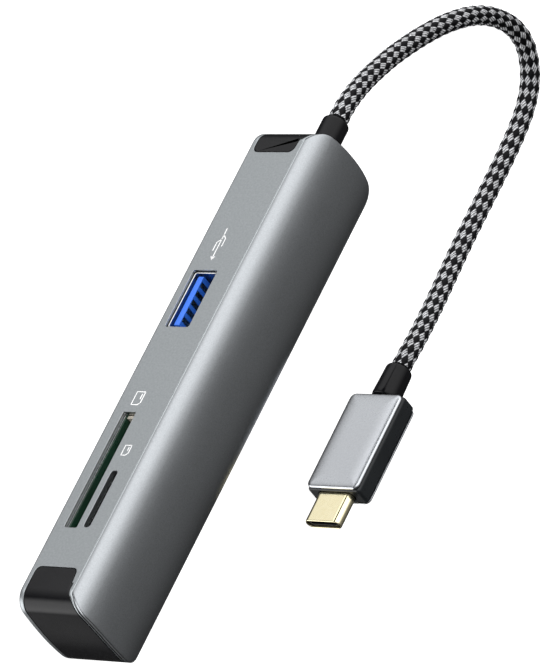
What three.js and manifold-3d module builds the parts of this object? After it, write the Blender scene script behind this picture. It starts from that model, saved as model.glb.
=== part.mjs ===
// USB-C hub: a slim aluminium body with USB-A, SD and micro SD ports on one long side,
// glossy black inlays round both ends, and a short braided cable with a USB-C plug.
// Millimetres, +Z up. The origin is the bottom centre of the hub body. +X points to the
// closed end, the cable leaves the -X end, and the port face looks along -Y.

import * as THREE from 'three';
import { mergeVertices } from 'three/addons/utils/BufferGeometryUtils.js';
import Module from 'manifold-3d';

const wasm = await Module();
wasm.setup();

// ---- driving dimensions ----------------------------------------------------------------

const BODY_LENGTH = 109.8;
const BODY_WIDTH = 20.7;
const SEAM_Z = 12.2; // top of the housing's long sides
const CROWN_Z = 16.1; // ridge of the arched cover
const FRONT_CORNER = 3.6; // plan radius of the corners at the port face
const REAR_CORNER = 5.2;
const END_BOW = 0.35; // how far the ends bulge past a straight end
const WALL = 1.4;
const FLOOR = 1.3;
const SHEET = 0.6; // thickness of the cover
const SEAM_GAP = 0.25; // shadow gap between housing and cover
const CLEARANCE = 0.3; // between parts that touch
const FIT = 0.15; // between an inlay and its recess
const ARCH_POWER = 2.4; // a little fuller than an ellipse, which is 2

const INLAY_DEPTH = 0.8;
const INLAY_BOTTOM = 1.2;
const INLAY_SHOULDER = 11.1; // its top on the port face
const LIP = 0.7; // height of the cover's edge round an end
const INLAY_CORNER = 1.3;
const INLAY_STARTS = { closed: 46.2, cable: -48.4 };

const USB_A = { x: -14.2, z: 4.82, width: 13.15, height: 5.74, depth: 13.4, sheet: 0.3 };
const SD = { x: 24.7, z: 4.2, width: 25.9, height: 3.0, depth: 16.6, sheet: 0.25 };
const MICRO_SD = { x: 31.1, z: 7.9, width: 12.65, height: 1.55, depth: 14.5, sheet: 0.2 };

const BOARD = { halfLength: 45, halfWidth: 8.3, bottom: 5.95, top: 6.85 };
const SCREWS = [[-38, 5.6], [-38, -5.6], [42.2, 5.6], [42.2, -5.6]];

const CABLE_DIAMETER = 4.0;
const EXIT_Z = 7.1; // height of the cable's axis where it leaves the hub
const COLLAR_DIAMETER = 5.3;
const COLLAR_TIP_X = -63.7;
const TAIL_END_X = -47.5; // end of the cable's jacket inside the hub

// The plug lies on its narrow side: its broad faces look along -Y and +Y.
const PLUG = { x: -9.8, y: 44.9, z: 6.4, length: 22.3, height: 12.6, thickness: 5.9 };
const SHELL = { width: 8.3, thickness: 2.5, reach: 6.65, sheet: 0.3 };
const PLUG_COLLAR_TIP_X = -39.6;

// The cable's centre line, from the hub's collar to the plug's: straight out, down to the
// surface, round in one loose bend and along beside the hub to the plug.
const CABLE_ROUTE = [
  [COLLAR_TIP_X - 0.3, 0, EXIT_Z],
  [-69, 0.9, 6.3],
  [-74, 2.7, 5.2],
  [-78.6, 4.7, 4.3],
  [-83, 6.8, 3.6],
  [-87.1, 8.9, 3.0],
  [-91.1, 11.1, 2.6],
  [-95.1, 13.4, 2.3],
  [-99, 15.8, 2.1],
  [-102.5, 18.1, 2.05],
  [-105.8, 20.6, 2.05],
  [-109, 23.4, 2.05],
  [-112.1, 26.9, 2.05],
  [-114.7, 31.2, 2.05],
  [-116.2, 35.9, 2.05],
  [-115.9, 40.4, 2.05],
  [-113.6, 44.2, 2.05],
  [-110.3, 46.8, 2.05],
  [-106.2, 48.3, 2.05],
  [-101.6, 49, 2.05],
  [-96.3, 49.3, 2.05],
  [-88.5, 49.4, 2.05],
  [-80.5, 49.3, 2.1],
  [-72.5, 49, 2.4],
  [-65, 48.5, 3.1],
  [-58.3, 47.8, 4.0],
  [-52.5, 46.9, 4.9],
  [-47.5, 46, 5.7],
  [-43.4, 45.2, 6.25],
  [PLUG_COLLAR_TIP_X - 0.3, PLUG.y, PLUG.z],
].map(([x, y, z]) => new THREE.Vector3(x, y, z));

// ---- materials ---------------------------------------------------------------------------

const finish = (color, roughness, metalness) => () =>
  new THREE.MeshStandardMaterial({ color, roughness, metalness });

const materials = {
  housingAluminium: finish(0x9a9ea2, 0.45, 0.9),
  coverAluminium: finish(0x6d7074, 0.4, 0.95),
  glossBlack: finish(0x0b0b0c, 0.12, 0),
  blackResin: finish(0x1d1e20, 0.5, 0),
  ivoryResin: finish(0xb9b2a4, 0.5, 0),
  boardGreen: finish(0x12392a, 0.45, 0),
  steel: finish(0xb9bcc0, 0.3, 1),
  bluePlastic: finish(0x1c5fd0, 0.4, 0),
  gold: finish(0xd9b45c, 0.25, 1),
  chipBlack: finish(0x17181a, 0.55, 0),
  ceramic: finish(0xa58a66, 0.5, 0),
  ferrite: finish(0x3a3c40, 0.6, 0),
  braid: finish(0x5a5d63, 0.7, 0),
  wireRed: finish(0xa32020, 0.5, 0),
  wireWhite: finish(0xdcdcd8, 0.5, 0),
  plugBody: finish(0x25292c, 0.4, 0.2),
  plugCover: finish(0xa9afb6, 0.35, 0.9),
};

const group = new THREE.Group();

function addPart(name, geometry, material) {
  const mesh = new THREE.Mesh(geometry, material());
  mesh.name = name;
  group.add(mesh);
}

// ---- solids ------------------------------------------------------------------------------

function toSolid(geometry) {
  const bare = geometry.clone();
  bare.deleteAttribute('normal');
  bare.deleteAttribute('uv');
  const merged = mergeVertices(bare, 1e-5);
  return new wasm.Manifold(new wasm.Mesh({
    numProp: 3,
    vertProperties: new Float32Array(merged.attributes.position.array),
    triVerts: new Uint32Array(merged.index.array),
  }));
}

function toGeometry(solid) {
  const mesh = solid.getMesh();
  const geometry = new THREE.BufferGeometry();
  geometry.setAttribute('position', new THREE.BufferAttribute(mesh.vertProperties, 3));
  geometry.setIndex(new THREE.BufferAttribute(mesh.triVerts, 1));
  return geometry;
}

const join = (first, ...rest) =>
  toGeometry(rest.reduce((sum, part) => sum.add(toSolid(part)), toSolid(first)));

const cut = (first, ...rest) =>
  toGeometry(rest.reduce((left, part) => left.subtract(toSolid(part)), toSolid(first)));

const common = (first, second) => toGeometry(toSolid(first).intersect(toSolid(second)));

function slab([x0, x1], [y0, y1], [z0, z1]) {
  const box = new THREE.BoxGeometry(x1 - x0, y1 - y0, z1 - z0);
  return box.translate((x0 + x1) / 2, (y0 + y1) / 2, (z0 + z1) / 2);
}

function roundedRectangle(width, height, radius) {
  const shape = new THREE.Shape();
  const [w, h] = [width / 2 - radius, height / 2 - radius];
  shape.absarc(w, h, radius, 0, Math.PI / 2);
  shape.absarc(-w, h, radius, Math.PI / 2, Math.PI);
  shape.absarc(-w, -h, radius, Math.PI, 1.5 * Math.PI);
  shape.absarc(w, -h, radius, 1.5 * Math.PI, 2 * Math.PI);
  shape.closePath();
  return shape;
}

// A rounded bar with its section in the XZ plane, running along +Y from y0.
function barAlongY(width, height, radius, x, z, y0, length, steps = 4) {
  const bar = new THREE.ExtrudeGeometry(roundedRectangle(width, height, radius), {
    depth: length,
    bevelEnabled: false,
    curveSegments: steps,
  });
  return bar.rotateX(Math.PI / 2).translate(x, y0 + length, z);
}

// A rounded bar with its section in the YZ plane (width along Y), running along +X from x0.
function barAlongX(width, height, radius, y, z, x0, length, steps = 4) {
  const bar = new THREE.ExtrudeGeometry(roundedRectangle(width, height, radius), {
    depth: length,
    bevelEnabled: false,
    curveSegments: steps,
  });
  return bar.rotateX(Math.PI / 2).rotateZ(Math.PI / 2).translate(x0, y, z);
}

// A turned piece round an axis parallel to Z; profile points are [radius, z].
function turned(profile, x, y, segments) {
  const points = profile.map(([r, z]) => new THREE.Vector2(r, z));
  const body = new THREE.LatheGeometry(points, segments);
  return body.rotateX(Math.PI / 2).translate(x, y, 0);
}

// A turned piece round an axis parallel to X; profile points are [radius, x].
function turnedAlongX(profile, y, z, segments) {
  const points = profile.map(([r, x]) => new THREE.Vector2(r, x));
  const body = new THREE.LatheGeometry(points, segments);
  return body.rotateZ(-Math.PI / 2).translate(0, y, z);
}

function tube(points, diameter, sides, steps) {
  const section = new THREE.Shape();
  section.absarc(0, 0, diameter / 2, 0, 2 * Math.PI);
  return new THREE.ExtrudeGeometry(section, {
    steps,
    curveSegments: sides,
    bevelEnabled: false,
    extrudePath: new THREE.CatmullRomCurve3(points, false, 'centripetal'),
  });
}

// ---- the hub's plan outline and arched section ---------------------------------------------

const HALF_LENGTH = BODY_LENGTH / 2;
const HALF_WIDTH = BODY_WIDTH / 2;
const BEYOND = HALF_LENGTH + 6;
const COVER_BOTTOM = SEAM_Z + SEAM_GAP;

// One ring of points round the hub at height z: a long rounded rectangle with bowed ends.
function planRing(inset, z) {
  const cornerSteps = 8;
  const quarter = (corner) => {
    const points = [];
    for (let i = 0; i <= cornerSteps; i += 1) {
      const angle = (i / cornerSteps) * (Math.PI / 2);
      points.push([
        HALF_LENGTH - END_BOW - corner + (corner - inset) * Math.cos(angle),
        HALF_WIDTH - corner + (corner - inset) * Math.sin(angle),
      ]);
    }
    return points;
  };
  const front = quarter(FRONT_CORNER).map(([x, y]) => [x, -y]).reverse();
  const end = [-0.5, 0, 0.5].map((s) => [
    HALF_LENGTH - inset - END_BOW * s * s,
    s * (HALF_WIDTH - (s < 0 ? FRONT_CORNER : REAR_CORNER)),
  ]);
  const right = [...front, ...end, ...quarter(REAR_CORNER)];
  const left = right.map(([x, y]) => [-x, y]).reverse();
  return [...right, ...left].map(([x, y]) => new THREE.Vector3(x, y, z));
}

// A closed body through a stack of convex rings, the first at the bottom.
function skin(rings) {
  const count = rings[0].length;
  const vertices = rings.flat();
  const index = [];
  for (let r = 0; r + 1 < rings.length; r += 1) {
    for (let i = 0; i < count; i += 1) {
      const [a, b] = [r * count + i, r * count + ((i + 1) % count)];
      index.push(a, b, b + count, a, b + count, a + count);
    }
  }
  const top = (rings.length - 1) * count;
  for (let i = 1; i + 1 < count; i += 1) {
    index.push(0, i + 1, i);
    index.push(top, top + i, top + i + 1);
  }
  const geometry = new THREE.BufferGeometry();
  const positions = vertices.flatMap((v) => [v.x, v.y, v.z]);
  geometry.setAttribute('position', new THREE.Float32BufferAttribute(positions, 3));
  geometry.setIndex(index);
  return geometry;
}

const prism = (inset, z0, z1) => skin([planRing(inset, z0), planRing(inset, z1)]);

// Everything below an arch that spans the hub's width, as long as the hub and longer: a
// block up to spring height with a superellipse on top.
function underArch(halfSpan, springZ, rise, blockHalfWidth) {
  const steps = 28;
  const section = new THREE.Shape();
  section.moveTo(blockHalfWidth, -1);
  section.lineTo(blockHalfWidth, springZ);
  for (let i = 0; i <= steps; i += 1) {
    const angle = (i / steps) * Math.PI;
    const reach = Math.abs(Math.cos(angle)) ** (2 / ARCH_POWER) * Math.sign(Math.cos(angle));
    section.lineTo(halfSpan * reach, springZ + rise * Math.sin(angle) ** (2 / ARCH_POWER));
  }
  section.lineTo(-blockHalfWidth, springZ);
  section.lineTo(-blockHalfWidth, -1);
  section.closePath();
  const block = new THREE.ExtrudeGeometry(section, { depth: 2 * BEYOND, bevelEnabled: false });
  return block.rotateX(Math.PI / 2).rotateZ(Math.PI / 2).translate(-BEYOND, 0, 0);
}

// ---- housing, cover and inlays -----------------------------------------------------------

const coverRise = CROWN_Z - COVER_BOTTOM;
const sheetGap = SHEET + SEAM_GAP;

// The side view of the end inlay on the port face, run through the hub's whole width. Its
// upper edge steps up past the shoulder, where the arch over the end takes over.
function inlayWindow(startX, grow) {
  const side = Math.sign(startX);
  const x = Math.abs(startX) - grow;
  const [low, shoulder] = [INLAY_BOTTOM - grow, INLAY_SHOULDER + grow];
  const r = INLAY_CORNER;
  const view = new THREE.Shape();
  view.moveTo(BEYOND, low);
  view.lineTo(BEYOND, CROWN_Z + 1);
  view.lineTo(x + 3.4, CROWN_Z + 1);
  view.lineTo(x + 3.2, shoulder + 0.2);
  view.lineTo(x + r, shoulder);
  view.absarc(x + r, shoulder - r, r, Math.PI / 2, Math.PI);
  view.absarc(x + r, low + r, r, Math.PI, 1.5 * Math.PI);
  view.closePath();
  const block = new THREE.ExtrudeGeometry(view, {
    depth: 2 * BODY_WIDTH, bevelEnabled: false, curveSegments: 5,
  }).rotateX(Math.PI / 2).translate(0, BODY_WIDTH, 0);
  return side > 0 ? block : block.rotateZ(Math.PI);
}

// Everything below the cover's outer surface when that is moved down by drop.
const underCover = (drop) =>
  underArch(HALF_WIDTH, COVER_BOTTOM - drop, coverRise, HALF_WIDTH + 1);

// The same, only round the two ends.
const underCoverEnds = (drop) => [-1, 1].map((side) => {
  const start = HALF_LENGTH - END_BOW - REAR_CORNER;
  const span = [side * start, side * BEYOND].sort((a, b) => a - b);
  return common(underCover(drop), slab(span, [-BODY_WIDTH, BODY_WIDTH], [0, CROWN_Z + 1]));
});

const inlayArch = (grow) => underCover(COVER_BOTTOM - INLAY_SHOULDER - 0.1 - grow);

// The space that a card cage takes up in the wall behind its opening.
function cagePocket(x, z, cage) {
  return slab(
    [x - cage.width / 2 - FIT, x + cage.width / 2 + FIT],
    [cage.front - 0.1, FACE_Y + 2 * WALL],
    [z - cage.height / 2 - FIT, z + cage.height / 2 + FIT],
  );
}

// The round hole that the collar goes through at the cable end.
const exitHole = () => roundRod(-BEYOND, -45, COLLAR_DIAMETER + 2 * FIT, 0, EXIT_Z);

function lowerHousing() {
  const edge = 0.5; // rounding of the bottom edge
  const outline = skin([
    planRing(edge, 0),
    planRing(edge * 0.3, edge * 0.3),
    planRing(0, edge),
    planRing(0, CROWN_Z),
  ]);
  const top = join(
    underArch(HALF_WIDTH - sheetGap, SEAM_Z, CROWN_Z - sheetGap - SEAM_Z, HALF_WIDTH + 1),
    ...underCoverEnds(LIP + SEAM_GAP),
  );
  const recesses = Object.values(INLAY_STARTS).map((start) =>
    cut(common(inlayWindow(start, 0), inlayArch(0)), prism(INLAY_DEPTH, 0, CROWN_Z)));
  const cutLength = 14; // from outside the port face to well inside the wall
  const port = (spec, radius, steps) => barAlongY(
    spec.width, spec.height, radius, spec.x, spec.z, -BODY_WIDTH, cutLength, steps,
  );
  const [bossRadius, pilotRadius, pilotBottom] = [2, 1.1, 2.4];
  const bosses = SCREWS.map(([x, y]) => turned([
    [0, FLOOR - 0.5],
    [bossRadius, FLOOR - 0.5],
    [bossRadius, BOARD.bottom - CLEARANCE],
    [pilotRadius, BOARD.bottom - CLEARANCE],
    [pilotRadius, pilotBottom],
    [0, pilotBottom],
  ], x, y, 16));
  const tray = cut(
    common(outline, top), prism(WALL, FLOOR, CROWN_Z + 1), ...recesses,
    port(USB_A, 0.5, 3), port(SD, 0.5, 3), port(MICRO_SD, MICRO_SD.height / 2 - 0.05, 5),
    cagePocket(SD.x, sdCageZ, sdCage), cagePocket(MICRO_SD.x, microCageZ, microCage),
    exitHole(),
  );
  return join(tray, ...bosses);
}

function topCover() {
  const outline = prism(0, COVER_BOTTOM, CROWN_Z + 1);
  const arch = common(
    outline, underArch(HALF_WIDTH, COVER_BOTTOM, coverRise, HALF_WIDTH + 1),
  );
  const hollow = underArch(HALF_WIDTH - SHEET, COVER_BOTTOM, coverRise - SHEET, HALF_WIDTH - SHEET);
  const rails = [-1, 1].map((side) => {
    const y = side * (HALF_WIDTH - WALL - 2 * CLEARANCE);
    return slab([-44, 44], [y - 0.3, y + 0.3], [11, COVER_BOTTOM + 0.58 * coverRise]);
  });
  return join(cut(arch, hollow, ...underCoverEnds(LIP)), ...rails);
}

function endInlay(startX, ...openings) {
  const window = inlayWindow(startX, -FIT);
  const band = common(common(window, inlayArch(-FIT)), prism(0, INLAY_BOTTOM + FIT, CROWN_Z));
  return cut(band, prism(INLAY_DEPTH - FIT, -1, CROWN_Z + 1), ...openings);
}

// ---- circuit board -----------------------------------------------------------------------

function circuitBoard() {
  const { halfLength, halfWidth, bottom, top } = BOARD;
  const blank = new THREE.ExtrudeGeometry(
    roundedRectangle(2 * halfLength, 2 * halfWidth, 1.5),
    { depth: top - bottom, bevelEnabled: false, curveSegments: 3 },
  ).translate(0, 0, bottom);
  const socketNotch = slab(
    [USB_A.x - USB_A.width / 2 - 0.4, USB_A.x + USB_A.width / 2 + 0.4],
    [-BODY_WIDTH, 4.2], [bottom - 1, top + 1],
  );
  const holes = SCREWS.map(([x, y]) =>
    turned([[0, bottom - 1], [1.1, bottom - 1], [1.1, top + 1], [0, top + 1]], x, y, 16));
  return cut(blank, socketNotch, ...holes);
}

function boardScrew(x, y) {
  const head = BOARD.top + CLEARANCE;
  const body = turned([
    [0, 3.2],
    [0.8, 3.6],
    [0.8, head],
    [1.6, head],
    [1.6, head + 0.5],
    [1.1, head + 0.9],
    [0, head + 0.9],
  ], x, y, 16);
  const slots = [[1.7, 0.4], [0.4, 1.7]].map(([sx, sy]) => slab(
    [x - sx / 2, x + sx / 2], [y - sy / 2, y + sy / 2], [head + 0.4, head + 2],
  ));
  return cut(body, ...slots);
}

// A leadless chip: a flat moulded body with a pin-one dimple.
function chip(x, y, size, height) {
  const bottom = BOARD.top + 0.1;
  const body = new THREE.ExtrudeGeometry(roundedRectangle(size, size, 0.2), {
    depth: height, bevelEnabled: false, curveSegments: 2,
  }).translate(x, y, bottom);
  const dimple = turned([
    [0, bottom + height - 0.15],
    [0.3, bottom + height - 0.15],
    [0.3, bottom + height + 1],
    [0, bottom + height + 1],
  ], x - size / 2 + 0.9, y + size / 2 - 0.9, 10);
  return cut(body, dimple);
}

function boardBlock(x, y, width, depth, height, radius) {
  return new THREE.ExtrudeGeometry(roundedRectangle(width, depth, radius), {
    depth: height, bevelEnabled: false, curveSegments: 3,
  }).translate(x, y, BOARD.top + 0.1);
}

// ---- sockets -----------------------------------------------------------------------------

const FACE_Y = -HALF_WIDTH;

// A bent sheet-metal sleeve, open at the front and at the back.
function sleeve(x, z, width, height, sheet, radius, y0, length) {
  const outer = barAlongY(width, height, radius, x, z, y0, length, 3);
  const inner = barAlongY(
    width - 2 * sheet, height - 2 * sheet, Math.max(radius - sheet, 0.05),
    x, z, y0 - 1, length + 2, 3,
  );
  return cut(outer, inner);
}

const usbShell = { width: USB_A.width - 0.3, height: USB_A.height - 0.3, front: FACE_Y + 0.5 };
const tongue = {
  width: 11.2, thickness: 1.3, bottom: USB_A.z - USB_A.height / 2 + 1.15, front: FACE_Y + 0.8,
};
const tongueTop = tongue.bottom + tongue.thickness;
const signalPads = [-4, -2, 0, 2, 4].map((x) => ({ x, width: 0.9, y: [tongue.front + 0.3, -6.3] }));
const powerPads = [-3.5, -1, 1, 3.5].map((x) => ({ x, width: 0.8, y: [-5.6, -1.0] }));

function usbTongue() {
  const block = slab(
    [USB_A.x - usbShell.width / 2 + 0.5, USB_A.x + usbShell.width / 2 - 0.5],
    [0.2, usbShell.front + USB_A.depth - 0.3],
    [USB_A.z - usbShell.height / 2 + 0.5, USB_A.z + usbShell.height / 2 - 0.5],
  );
  const blade = slab(
    [USB_A.x - tongue.width / 2, USB_A.x + tongue.width / 2],
    [tongue.front, 1], [tongue.bottom, tongueTop],
  );
  const grooves = [...signalPads, ...powerPads].map((pad) => slab(
    [USB_A.x + pad.x - pad.width / 2 - 0.1, USB_A.x + pad.x + pad.width / 2 + 0.1],
    [pad.y[0] - 0.1, pad.y[1] + 0.1], [tongueTop - 0.35, tongueTop + 1],
  ));
  return cut(join(block, blade), ...grooves);
}

function usbContact(pad) {
  return slab(
    [USB_A.x + pad.x - pad.width / 2, USB_A.x + pad.x + pad.width / 2],
    pad.y, [tongueTop - 0.28, tongueTop + 0.02],
  );
}

// The plastic frame inside a card cage: a floor plate with the contact grooves under the
// board, two side rails and a stop at the back.
function cardFrame(spec, cage, floorZ, slotZ, cardWidth) {
  const [x0, x1] = [spec.x - cage.width / 2 + spec.sheet, spec.x + cage.width / 2 - spec.sheet];
  const [left, right] = [x0 + 0.1, x1 - 0.1];
  const back = cage.front + spec.depth - 0.4;
  const plate = slab([left, right], [cage.front + 2, back], floorZ);
  const rails = [[left, spec.x - cardWidth / 2], [spec.x + cardWidth / 2, right]].map((span) =>
    slab(span, [cage.front + 0.4, back], [slotZ[0], Math.max(floorZ[1], slotZ[1])]));
  const stop = slab([left, right], [back - 1.6, back], [slotZ[0], Math.max(floorZ[1], slotZ[1])]);
  return join(plate, ...rails, stop);
}

// The cages reach a little way into the wall, in pockets behind their openings.
const sdCage = { width: 26.4, height: 3.1, front: FACE_Y + 0.75 };
const microCage = { width: 13.0, height: 1.9, front: FACE_Y + 1.2 };
const sdCageZ = BOARD.bottom - 0.15 - sdCage.height / 2;
const microCageZ = BOARD.top + 0.15 + microCage.height / 2;
const sdFloor = [sdCageZ + sdCage.height / 2 - 0.5, sdCageZ + sdCage.height / 2 - 0.3];
const sdSlot = [sdCageZ - sdCage.height / 2 + 0.5, sdFloor[0]];
const microFloor = [microCageZ - microCage.height / 2 + 0.3, microCageZ - microCage.height / 2 + 0.6];
const microSlot = [microFloor[0], microCageZ + microCage.height / 2 - 0.3];

// The thin strip of board that a card slides over at the bottom of the SD slot.
function sdFloorBoard() {
  const inside = sdCageZ - sdCage.height / 2 + SD.sheet;
  const halfWidth = sdCage.width / 2 - SD.sheet - 0.1;
  return slab(
    [SD.x - halfWidth, SD.x + halfWidth],
    [sdCage.front + 0.25, sdCage.front + SD.depth - 2.2],
    [inside + 0.03, inside + 0.18],
  );
}

// A spring contact: a thin strip that bows into the card slot near its tip.
function springContact(x, width, y0, y1, restZ, bow) {
  const side = new THREE.Shape();
  const thickness = 0.15;
  side.moveTo(y0, restZ);
  side.quadraticCurveTo(y0 + 1, restZ + 2 * bow, y0 + 2, restZ);
  side.lineTo(y1, restZ);
  side.lineTo(y1, restZ + thickness);
  side.lineTo(y0 + 2, restZ + thickness);
  side.quadraticCurveTo(y0 + 1, restZ + thickness + 2 * bow, y0, restZ + thickness);
  side.closePath();
  const strip = new THREE.ExtrudeGeometry(side, {
    depth: width, bevelEnabled: false, curveSegments: 3,
  });
  return strip.rotateX(Math.PI / 2).rotateZ(Math.PI / 2).translate(x - width / 2, 0, 0);
}

// ---- plug --------------------------------------------------------------------------------

const plugBack = PLUG.x - PLUG.length;
const coverPlate = { depth: 0.8, crown: 0.6, border: 0.12 };
const spigotRadius = 1.1; // of the collar inside the plug

function plugCore() {
  const core = barAlongX(
    PLUG.thickness - 2 * (coverPlate.depth + 0.1), PLUG.height, 0.8,
    PLUG.y, PLUG.z, plugBack, PLUG.length, 5,
  );
  const shellSpace = barAlongX(
    SHELL.thickness + 2 * FIT, SHELL.width + 2 * FIT, SHELL.thickness / 2,
    PLUG.y, PLUG.z, PLUG.x - 4.2, 6, 6,
  );
  const boardSpace = slab(
    [plugBack + 3.5, PLUG.x - 4], [PLUG.y - 0.7, PLUG.y + 0.7],
    [PLUG.z - SHELL.width / 2, PLUG.z + SHELL.width / 2],
  );
  const wireSpace = turnedAlongX([
    [0, plugBack - 1],
    [spigotRadius + FIT, plugBack - 1],
    [spigotRadius + FIT, plugBack + 4],
    [0, plugBack + 4],
  ], PLUG.y, PLUG.z, 16);
  return cut(core, shellSpace, boardSpace, wireSpace);
}

// A pillow-shaped metal cover over one broad face of the plug.
function plugCover(facing) {
  const bevel = 0.45;
  const plate = new THREE.ExtrudeGeometry(
    roundedRectangle(
      PLUG.length - 2 * (coverPlate.border + bevel), PLUG.height - 2 * (coverPlate.border + bevel),
      0.8,
    ),
    {
      depth: coverPlate.depth - coverPlate.crown,
      bevelEnabled: true,
      bevelThickness: coverPlate.crown,
      bevelSize: bevel,
      bevelSegments: 3,
      curveSegments: 3,
    },
  );
  const pillow = common(plate, slab([-50, 50], [-50, 50], [0, 5]));
  const seat = PLUG.thickness / 2 - coverPlate.depth;
  return pillow
    .rotateX(facing * -Math.PI / 2)
    .translate(PLUG.x - PLUG.length / 2, PLUG.y + facing * seat, PLUG.z);
}

function usbcShell() {
  const start = PLUG.x - 4;
  const length = SHELL.reach + 4;
  const radius = SHELL.thickness / 2 - 0.01;
  const outer = barAlongX(SHELL.thickness, SHELL.width, radius, PLUG.y, PLUG.z, start, length, 6);
  const inner = barAlongX(
    SHELL.thickness - 2 * SHELL.sheet, SHELL.width - 2 * SHELL.sheet, radius - SHELL.sheet,
    PLUG.y, PLUG.z, start - 1, length + 2, 6,
  );
  return cut(outer, inner);
}

// The moulded frame inside the shell, with the slot that receives the socket's tongue.
function usbcInsulator() {
  const gap = 0.12;
  const [thickness, width] = [SHELL.thickness - 2 * (SHELL.sheet + gap), SHELL.width - 1.2];
  const start = PLUG.x - 3.6;
  const front = PLUG.x + SHELL.reach - 0.4;
  const body = barAlongX(
    thickness, width, thickness / 2 - 0.02, PLUG.y, PLUG.z, start, front - start, 5,
  );
  const slot = slab(
    [PLUG.x + 0.4, front + 1], [PLUG.y - 0.42, PLUG.y + 0.42],
    [PLUG.z - width / 2 + 0.5, PLUG.z + width / 2 - 0.5],
  );
  return cut(body, slot);
}

function plugBoard() {
  return slab(
    [plugBack + 4, PLUG.x - 4.3], [PLUG.y - 0.4, PLUG.y + 0.4],
    [PLUG.z - SHELL.width / 2 + CLEARANCE, PLUG.z + SHELL.width / 2 - CLEARANCE],
  );
}

// ---- cable, collars and clamp ------------------------------------------------------------

// The moulded sleeve on the cable at the hub: a flange inside the wall, and a round nose.
function hubCollar() {
  const bore = CABLE_DIAMETER / 2 + FIT;
  const outer = COLLAR_DIAMETER / 2;
  const wallInside = -HALF_LENGTH + WALL + CLEARANCE;
  return turnedAlongX([
    [bore, COLLAR_TIP_X],
    [outer - 0.45, COLLAR_TIP_X],
    [outer - 0.12, COLLAR_TIP_X + 0.15],
    [outer, COLLAR_TIP_X + 0.5],
    [outer, wallInside],
    [outer + 1, wallInside],
    [outer + 1, wallInside + 1.2],
    [bore, wallInside + 1.2],
    [bore, COLLAR_TIP_X],
  ], 0, EXIT_Z, 24);
}

// The collar at the plug is moulded onto the cable's end and keyed into the plug's body.
function plugCollar() {
  const tip = PLUG_COLLAR_TIP_X;
  const outer = COLLAR_DIAMETER / 2;
  return turnedAlongX([
    [0, tip],
    [outer - 0.35, tip],
    [outer, tip + 0.4],
    [outer + 0.2, plugBack - CLEARANCE - 0.8],
    [outer, plugBack - CLEARANCE],
    [spigotRadius, plugBack - CLEARANCE],
    [spigotRadius, plugBack + 3.2],
    [0, plugBack + 3.2],
  ], PLUG.y, PLUG.z, 24);
}

function roundRod(x0, x1, diameter, y, z) {
  return turnedAlongX([[0, x0], [diameter / 2, x0], [diameter / 2, x1], [0, x1]], y, z, 16);
}

function crimpRing(x0, x1, inner, outer) {
  return turnedAlongX(
    [[inner, x0], [outer, x0], [outer, x1], [inner, x1], [inner, x0]], 0, EXIT_Z, 20,
  );
}

// ---- the assembly ------------------------------------------------------------------------

addPart('lower_housing', lowerHousing(), materials.housingAluminium);
addPart('top_cover', topCover(), materials.coverAluminium);
addPart('closed_end_inlay', endInlay(INLAY_STARTS.closed), materials.glossBlack);
addPart('cable_end_inlay', endInlay(INLAY_STARTS.cable, exitHole()), materials.glossBlack);

addPart('circuit_board', circuitBoard(), materials.boardGreen);
SCREWS.forEach(([x, y], i) => {
  addPart(`board_screw_${i + 1}`, boardScrew(x, y), materials.steel);
});
addPart('hub_controller_chip', chip(3, 0, 7, 0.85), materials.chipBlack);
addPart('card_reader_chip', chip(16, 1.5, 5, 0.85), materials.chipBlack);
addPart('crystal', boardBlock(10, -3.5, 3.2, 2.5, 0.8, 0.3), materials.steel);
addPart('power_inductor', boardBlock(-30, 2, 4, 4, 1.9, 0.7), materials.ferrite);
addPart('input_capacitor', boardBlock(-25, -4, 2, 1.25, 1.2, 0.1), materials.ceramic);

addPart('usb_a_shell', sleeve(
  USB_A.x, USB_A.z, usbShell.width, usbShell.height, USB_A.sheet, 0.6,
  usbShell.front, USB_A.depth,
), materials.steel);
addPart('usb_a_tongue', usbTongue(), materials.bluePlastic);
signalPads.forEach((pad, i) => {
  addPart(`usb_a_signal_contact_${i + 1}`, usbContact(pad), materials.gold);
});
powerPads.forEach((pad, i) => {
  addPart(`usb_a_power_contact_${i + 1}`, usbContact(pad), materials.gold);
});

addPart('sd_cage', sleeve(
  SD.x, sdCageZ, sdCage.width, sdCage.height, SD.sheet, 0.4, sdCage.front, SD.depth,
), materials.steel);
addPart('sd_floor_board', sdFloorBoard(), materials.boardGreen);
addPart('sd_frame', cardFrame(SD, sdCage, sdFloor, sdSlot, 24.4), materials.ivoryResin);
for (let i = 0; i < 9; i += 1) {
  const x = SD.x + (i - 4) * 2.5;
  const contact = springContact(x, 0.9, -1, 4.5, sdFloor[0] - 0.3, -0.25);
  addPart(`sd_contact_${i + 1}`, contact, materials.gold);
}

addPart('micro_sd_cage', sleeve(
  MICRO_SD.x, microCageZ, microCage.width, microCage.height, MICRO_SD.sheet, 0.3,
  microCage.front, MICRO_SD.depth,
), materials.steel);
addPart('micro_sd_frame', cardFrame(MICRO_SD, microCage, microFloor, microSlot, 11.3),
  materials.blackResin);
for (let i = 0; i < 8; i += 1) {
  const x = MICRO_SD.x + (i - 3.5) * 1.1;
  const contact = springContact(x, 0.6, -2, 2.5, microFloor[1] + 0.15, 0.15);
  addPart(`micro_sd_contact_${i + 1}`, contact, materials.gold);
}

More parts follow.
